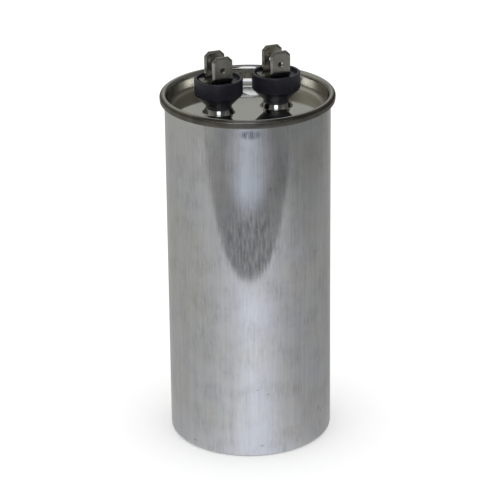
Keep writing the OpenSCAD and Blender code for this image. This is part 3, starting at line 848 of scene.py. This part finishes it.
def can_finish(f):
    """Bright drawn aluminium: fine, middling and long vertical lines, warm and cool clouds,
    a place rubbed in short streaks, a cluster of dark scuffs under the seam, and a few
    small marks near the foot."""
    material, tree, shader = start("Drawn Aluminium")
    fine = lines(tree, Across=3000.0, Along=130.0, Contrast=2.0)
    middling = lines(tree, Across=850.0, Along=38.0, Contrast=1.8)
    long = lines(tree, Across=330.0, Along=6.0, Contrast=1.5)
    streaks = lines(tree, Across=1500.0, Along=270.0, Contrast=3.2)
    dashes = lines(tree, Across=3400.0, Along=230.0, Contrast=3.0)
    clouds = smudges(tree, Scale=58.0, Low=0.36, High=0.66)
    stains = smudges(tree, Scale=150.0, Low=0.42, High=0.72)
    specks = marks(tree, Scale=115.0, Length=1.5, Size=0.10, Share=0.07)
    scuffs = times(tree, spot(tree, *CAN_SCUFFED), dashes)
    for mark in CAN_MARKS:
        specks = calc(tree, "MAXIMUM", specks, spot(tree, *mark, 0.2))
    level = 0.84
    for value, share_of in ((fine, 0.13), (middling, 0.15), (long, 0.11), (stains, -0.12)):
        level = sum_of(tree, value, share_of, level)
    rubbed = calc(tree, "MAXIMUM", spot(tree, *CAN_RUBBED), times(tree, stains, 0.35))
    level = sum_of(tree, rubbed, sum_of(tree, streaks, 0.66, -0.36), level)
    warm = tuple(c * k for c, k in zip(f.can, (1.0, 0.985, 0.93)))
    base = scaled(tree, blend(tree, clouds, f.can, warm), level)
    base = blend(tree, times(tree, specks, 0.5), base, shade(f.can, 0.4))
    base = blend(tree, times(tree, scuffs, 0.9), base, (0.05, 0.05, 0.09))
    rough = sum_of(tree, middling, 0.05, f.can_rough - 0.04)
    rough = sum_of(tree, clouds, 0.04, rough)
    height = sum_of(tree, long, 2.6, sum_of(tree, middling, 1.6, fine))
    around = put(tree, "ShaderNodeTangent", direction_type="RADIAL", axis="Z")
    tree.links.new(around.outputs[0], shader.inputs["Tangent"])
    dress(tree, shader, base, rough, height, 1e-5 * f.can_lines, Metallic=1.0, Anisotropic=0.3)
    return material


def lid_finish(f):
    """Bright tinplate: slightly wavy, with faint cloudy patches and a fine grain from the
    rolling. Outside the seam's crown its colour is painted dark in uneven patches, a painted
    reflection of the dark surroundings, and it is rougher there."""
    material, tree, shader = start("Tinplate")
    clouds = smudges(tree, Scale=110.0, Low=0.35, High=0.7)
    waves = smudges(tree, Scale=45.0, Low=0.2, High=0.8)
    grain = smudges(tree, Scale=900.0, Low=0.3, High=0.7)
    tarnish = smudges(tree, Scale=260.0, Low=0.3, High=0.72)
    # Painted reflection: outside the seam's crown the colour is darkened, in uneven patches, to
    # stand in for the dark surroundings the seam reflects; it is also rougher there
    outer_seam = step(tree, off_axis(tree, places(tree)), CAN_R + SEAM_BAND, 0.0002)
    painted_dark_seam = blend(tree, tarnish, (0.115, 0.108, 0.095), (0.21, 0.195, 0.165))
    base = blend(tree, clouds, f.lid, shade(f.lid, 0.92))
    base = blend(tree, outer_seam, base, painted_dark_seam)
    rough = sum_of(tree, clouds, 0.02, f.lid_rough - 0.01)
    rough = sum_of(tree, outer_seam, 0.22, sum_of(tree, grain, 0.015, rough))
    height = sum_of(tree, waves, 30.0, grain)
    dress(tree, shader, base, rough, height, 4e-7, Metallic=1.0)
    return material


def bushing_finish(f):
    """Dark moulded plastic: half gloss with a fine moulded grain and a little dust. Low on the
    cone its colour is lifted to a bluish grey, a painted reflection of the lid."""
    material, tree, shader = start("Moulded Plastic")
    grain = smudges(tree, Scale=2600.0, Low=0.3, High=0.75)
    patches = smudges(tree, Scale=160.0, Low=0.4, High=0.75)
    dust = marks(tree, Scale=900.0, Length=1.0, Size=0.10, Share=0.06)
    base = blend(tree, patches, f.bushing, shade(f.bushing, 1.35))
    base = blend(tree, times(tree, dust, 0.35), base, (0.16, 0.15, 0.14))
    # Painted reflection: low on the cone the colour is lifted to a bluish grey, standing in for
    # the lid's reflection in it
    upper, lower = CUP_Z - 0.0052, CUP_Z - 0.0084
    painted_reflection = range_of(tree, places(tree)["Z"], upper, lower, 0.0, 0.55)
    base = blend(tree, painted_reflection, base, (0.050, 0.050, 0.068))
    rough = sum_of(tree, patches, 0.1, f.bushing_rough - 0.04)
    dress(tree, shader, base, rough, grain, 1.2e-6, Specular_IOR_Level=0.45)
    return material


def tinned_finish(name, colour_of, rough_level, recess_shade=0.0):
    """Tinned stamping: a dull bright skin with tarnish clouds, pressed grain and pits, and
    painted shade that darkens it where it lies low in a bushing's recess."""
    material, tree, shader = start(name)
    clouds = smudges(tree, Scale=320.0, Low=0.38, High=0.7)
    grain = smudges(tree, Scale=3200.0, Low=0.3, High=0.7)
    pits = marks(tree, Scale=1300.0, Length=1.0, Size=0.16, Share=0.2)
    base = blend(tree, clouds, shade(colour_of, 1.1), shade(colour_of, 0.78))
    base = blend(tree, times(tree, pits, 0.5), base, shade(colour_of, 0.5))
    # Painted shade: low in the bushing's recess the colour is darkened towards black, standing in
    # for the shade there
    if recess_shade:
        upper, lower = CUP_Z + 0.0012, CUP_Z - 0.0002
        painted_shade = range_of(tree, places(tree)["Z"], upper, lower, 0.0, recess_shade)
        base = blend(tree, painted_shade, base, shade(colour_of, 0.16))
    rough = sum_of(tree, grain, 0.08, sum_of(tree, clouds, 0.1, rough_level - 0.04))
    dress(tree, shader, base, rough, grain, 1.5e-6, Metallic=1.0)
    return material


def grained_finish(name, first, second, rough, scale, depth=4e-6, metallic=0.0):
    """A grained surface between two colours."""
    material, tree, shader = start(name)
    grain = smudges(tree, Scale=scale, Low=0.35, High=0.68)
    fine = smudges(tree, Scale=scale * 7, Low=0.3, High=0.7)
    rough = sum_of(tree, fine, 0.15, rough)
    dress(tree, shader, blend(tree, grain, first, second), rough, fine, depth, Metallic=metallic)
    return material


def film_finish(name, first, second, rough, layers):
    """Wound film: fine rings about the axis, from the distance to it."""
    material, tree, shader = start(name)
    far = times(tree, off_axis(tree, places(tree)), layers)
    inputs = {"W": far, "Scale": 1.0, "Detail": 2.0}
    wave = put(tree, "ShaderNodeTexNoise", inputs, noise_dimensions="1D")
    bands = range_of(tree, wave.outputs["Fac"], 0.35, 0.65)
    base = blend(tree, bands, first, second)
    dress(tree, shader, base, sum_of(tree, bands, 0.1, rough), bands, 5e-6)
    return material


# Pieces that the closed can hides, with the finish they share and its settings
INSIDE = (
    (["seam_compound"], grained_finish,
     "Sealing Compound", (0.12, 0.33, 0.2), (0.17, 0.42, 0.27), 0.6, 1500.0),
    (["left_gasket", "right_gasket"], grained_finish,
     "Gasket Rubber", (0.02, 0.02, 0.02), (0.04, 0.04, 0.042), 0.65, 1800.0),
    (["left_inner_washer", "right_inner_washer"], grained_finish,
     "Washer Plastic", (0.72, 0.69, 0.58), (0.6, 0.56, 0.45), 0.5, 700.0),
    (["left_solder_tag", "right_solder_tag"], tinned_finish,
     "Tinned Brass", (0.66, 0.58, 0.38), 0.34),
    (["left_lead", "right_lead"], tinned_finish,
     "Tinned Copper", (0.68, 0.67, 0.64), 0.3),
    (["winding"], film_finish,
     "Film Roll", (0.72, 0.7, 0.64), (0.5, 0.5, 0.5), 0.3, 9000.0),
    (["winding_wrap"], film_finish,
     "Film Wrap", (0.85, 0.82, 0.72), (0.74, 0.7, 0.6), 0.25, 6000.0),
    (["core_tube"], grained_finish,
     "Core Plastic", (0.85, 0.85, 0.82), (0.74, 0.74, 0.7), 0.45, 400.0),
    (["upper_end_contact", "lower_end_contact"], grained_finish,
     "Sprayed Zinc", (0.34, 0.35, 0.36), (0.58, 0.59, 0.6), 0.6, 1400.0, 3e-5, 0.8),
    (["upper_insulator", "lower_insulator"], grained_finish,
     "Pressed Board", (0.6, 0.54, 0.4), (0.72, 0.67, 0.53), 0.75, 500.0, 1.5e-5),
)


# ---- stage


def camera_axes(v):
    """The camera's place and its right, up and back directions. It stands at the given
    turn and height about the aimed point, and is then panned, tilted and rolled."""

    def level(ahead):
        right = np.cross(ahead, [0, 0, 1])
        right /= np.linalg.norm(right)
        return right, np.cross(right, ahead)

    flat = np.array([sin(v.camera_turn), -cos(v.camera_turn), 0])
    away = cos(v.camera_height) * flat + np.array([0, 0, sin(v.camera_height)])
    place = np.array([0, 0, v.aim_z]) + v.camera_far * away
    right, up = level(-away)
    ahead = -away + tan(v.pan) * right + tan(v.tilt) * up
    ahead /= np.linalg.norm(ahead)
    right, up = level(ahead)
    c, w = cos(v.roll), sin(v.roll)
    return place, c * right + w * up, c * up - w * right, -ahead


def bearing(tree, apart):
    """Direction seen from the middle, from 0 over 0.5 (towards the camera) to 1."""
    turn = calc(tree, "ARCTAN2", apart["X"], times(tree, apart["Y"], -1.0))
    return sum_of(tree, turn, 0.5 / pi, 0.5)


def table_shine(tree, apart):
    """The table round the can: brightest in front, greyer at the sides and dark far to the
    right, and past its front edge a dark strip and then a pale bluish patch in the middle."""
    near = ramp(tree, bearing(tree, apart), TABLE_NEAR)
    near = blend(tree, range_of(tree, apart["X"], *TABLE_DIM_X), near, TABLE_RIGHT)
    ahead = times(tree, apart["Y"], -1.0)
    across = sum_of(tree, apart["X"], 1.0, 0.5)
    strip, patch = ramp(tree, across, TABLE_STRIP), ramp(tree, across, TABLE_PATCH)
    far = blend(tree, step(tree, ahead, PATCH_Y, 0.010), strip, patch)
    return blend(tree, step(tree, ahead, STRIP_Y, 0.001), near, far)


def tent_shine(tree, apart):
    """The tent over the table: dim walls, darker high up, and then each of its lights."""
    rise = calc(tree, "ARCTAN2", apart["Z"], off_axis(tree, apart))
    height = times(tree, rise, 180 / pi)
    around = bearing(tree, apart)
    turn = sum_of(tree, around, 360.0, -180.0)
    turns = {"turn": turn, "behind": calc(tree, "ABSOLUTE", turn)}
    ramps = {
        "front": scaled(tree, ramp(tree, around, TENT_FRONT), RAMP_TOP),
        "lamp": scaled(tree, ramp(tree, times(tree, height, 0.01), TENT_LAMP), RAMP_TOP),
    }
    glow = ramp(tree, around, TENT_WALLS)
    glow = blend(tree, range_of(tree, height, *TENT_DIM), glow, TENT_HIGH)
    for way, sideways, upwards, light in TENT_LIGHTS:
        mask = times(tree, within(tree, turns[way], *sideways), within(tree, height, *upwards))
        glow = blend(tree, mask, glow, ramps.get(light, light))
    return glow


def card(mesh, turn, shine):
    """A reflector that only glossy surfaces show: it glows in the colour that shine gives
    for a node tree and the separated object coordinates."""
    thing = added(mesh.name, mesh)
    thing.rotation_euler[2] = turn
    material, tree, shader = start(mesh.name, "ShaderNodeEmission")
    tree.links.new(shine(tree, places(tree)), shader.inputs["Color"])
    mesh.materials.append(material)
    thing.visible_camera = thing.visible_diffuse = thing.visible_shadow = False
    thing.visible_transmission = thing.visible_volume_scatter = False


def dome_mesh(name, radius):
    """The upper half of a sphere, from its rim to its top, by two angles."""
    turns, rows = 64, 32
    points = ring_grid(arc(0, 0, radius, 0, pi / 2, rows), turns).reshape(-1, 3)
    mesh = bpy.data.meshes.new(name)
    mesh.from_pydata(points.tolist(), [], quads(rows + 1, turns, False, True).tolist())
    return mesh


def plate_mesh(name, width, z):
    """A square of the given width at height z."""
    h = width / 2
    mesh = bpy.data.meshes.new(name)
    mesh.from_pydata([(-h, -h, z), (h, -h, z), (h, h, z), (-h, h, z)], [], [(0, 1, 2, 3)])
    return mesh


def floor_finish():
    """A white floor. Only the camera sees its own small glow, which lifts it to white."""
    material, tree, shader = start("Pale Floor")
    dress(tree, shader, WHITE, 0.9, Specular_IOR_Level=0.0, Emission_Color=WHITE)
    seen = put(tree, "ShaderNodeLightPath").outputs["Is Camera Ray"]
    tree.links.new(times(tree, seen, FLOOR_GLOW), shader.inputs["Emission Strength"])
    return material


# ---- operators


def add_pair(context, shape, piece, node, material):
    """Adds the two pieces of one kind, one on each terminal."""
    for name, hand in HANDS.items():
        mesh = shape(context.scene.capacitor_terminal, f"{name}_{piece}", hand)
        add_piece(mesh, f"{name}_{node}", material)
    return {"FINISHED"}


class CAPACITOR_OT_add_can(bpy.types.Operator):
    """Adds the drawn can with its turned-over body hook"""

    bl_idname = "capacitor.add_can"
    bl_label = "Add Can"

    def execute(self, context):
        scene = context.scene
        finish = can_finish(scene.capacitor_finish)
        add_piece(can_mesh(scene.capacitor_sheet), "can", finish)
        return {"FINISHED"}


class CAPACITOR_OT_add_lid(bpy.types.Operator):
    """Adds the lid with its raised seats and the seam's cover hook"""

    bl_idname = "capacitor.add_lid"
    bl_label = "Add Lid"

    def execute(self, context):
        scene = context.scene
        finish = lid_finish(scene.capacitor_finish)
        add_piece(lid_mesh(scene.capacitor_sheet), "lid", finish)
        return {"FINISHED"}


class CAPACITOR_OT_add_bushings(bpy.types.Operator):
    """Adds the two moulded bushings"""

    bl_idname = "capacitor.add_bushings"
    bl_label = "Add Bushings"

    def execute(self, context):
        material = bushing_finish(context.scene.capacitor_finish)
        return add_pair(context, bushing_mesh, "moulded_bushing", "bushing", material)


class CAPACITOR_OT_add_blades(bpy.types.Operator):
    """Adds the two stamped terminals, each with a pair of blades"""

    bl_idname = "capacitor.add_blades"
    bl_label = "Add Blades"

    def execute(self, context):
        f = context.scene.capacitor_finish
        material = tinned_finish("Tinned Blade", f.blade, f.blade_rough, recess_shade=0.75)
        return add_pair(context, blade_mesh, "stamped_blades", "blade_terminal", material)


class CAPACITOR_OT_add_rivets(bpy.types.Operator):
    """Adds the two rivets that hold the terminals"""

    bl_idname = "capacitor.add_rivets"
    bl_label = "Add Rivets"

    def execute(self, context):
        f = context.scene.capacitor_finish
        material = tinned_finish("Tinned Rivet", f.rivet, f.blade_rough)
        return add_pair(context, rivet_mesh, "headed_rivet", "rivet", material)


class CAPACITOR_OT_finish_inside(bpy.types.Operator):
    """Gives the pieces inside the can their finishes"""

    bl_idname = "capacitor.finish_inside"
    bl_label = "Finish Inside"

    def execute(self, context):
        for nodes, finish, *settings in INSIDE:
            material = finish(*settings)
            for node in nodes:
                materials = frame["nodes"][node].data.materials
                materials.clear()
                materials.append(material)
        return {"FINISHED"}


class CAPACITOR_OT_set_stage(bpy.types.Operator):
    """Sets the floor, the soft light and the camera"""

    bl_idname = "capacitor.set_stage"
    bl_label = "Set Stage"

    def execute(self, context):
        scene = context.scene
        v = scene.capacitor_stage
        scene.view_settings.view_transform = "Standard"
        place, right, up, back = camera_axes(v)
        camera = added("camera", bpy.data.cameras.new("camera"))
        matrix = np.eye(4)
        matrix[:3] = np.column_stack([right, up, back, place])
        camera.matrix_world = Matrix(matrix.tolist())
        camera.data.sensor_width = 36
        camera.data.lens = v.lens
        scene.camera = camera

        world = bpy.data.worlds.new("surroundings")
        world.use_nodes = True
        background = world.node_tree.nodes["Background"]
        background.inputs["Color"].default_value = WHITE
        background.inputs["Strength"].default_value = v.world_strength
        scene.world = world

        floor = added("floor", plate_mesh("floor", v.floor_size, 0))
        floor.data.materials.append(floor_finish())
        card(plate_mesh("table_card", TABLE_WIDTH, TABLE_Z), v.camera_turn, table_shine)
        card(dome_mesh("tent_card", TENT_R), v.camera_turn, tent_shine)
        return {"FINISHED"}


OPERATORS = (
    CAPACITOR_OT_add_can,
    CAPACITOR_OT_add_lid,
    CAPACITOR_OT_add_bushings,
    CAPACITOR_OT_add_blades,
    CAPACITOR_OT_add_rivets,
    CAPACITOR_OT_finish_inside,
    CAPACITOR_OT_set_stage,
)


class CAPACITOR_PT_parts(bpy.types.Panel):
    """Lists the pieces that can be added"""

    bl_idname = "CAPACITOR_PT_parts"
    bl_label = "Capacitor"
    bl_space_type = "VIEW_3D"
    bl_region_type = "UI"
    bl_category = "Capacitor"

    def draw(self, context):
        column = self.layout.column()
        for operator in OPERATORS:
            column.operator(operator.bl_idname)


SETTINGS = {
    "capacitor_sheet": CapacitorSheet,
    "capacitor_terminal": CapacitorTerminal,
    "capacitor_finish": CapacitorFinish,
    "capacitor_stage": CapacitorStage,
}


def register():
    for name, settings in SETTINGS.items():
        bpy.utils.register_class(settings)
        setattr(bpy.types.Scene, name, PointerProperty(type=settings))
    for operator in OPERATORS:
        bpy.utils.register_class(operator)
    bpy.utils.register_class(CAPACITOR_PT_parts)


def unregister():
    bpy.utils.unregister_class(CAPACITOR_PT_parts)
    for operator in reversed(OPERATORS):
        bpy.utils.unregister_class(operator)
    for name, settings in SETTINGS.items():
        delattr(bpy.types.Scene, name)
        bpy.utils.unregister_class(settings)


def main():
    """Builds every piece and the stage."""
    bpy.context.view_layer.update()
    register()
    bpy.ops.capacitor.add_can()
    bpy.ops.capacitor.add_lid()
    bpy.ops.capacitor.add_bushings()
    bpy.ops.capacitor.add_blades()
    bpy.ops.capacitor.add_rivets()
    bpy.ops.capacitor.finish_inside()
    bpy.ops.capacitor.set_stage()


if __name__ == "__main__":
    main()
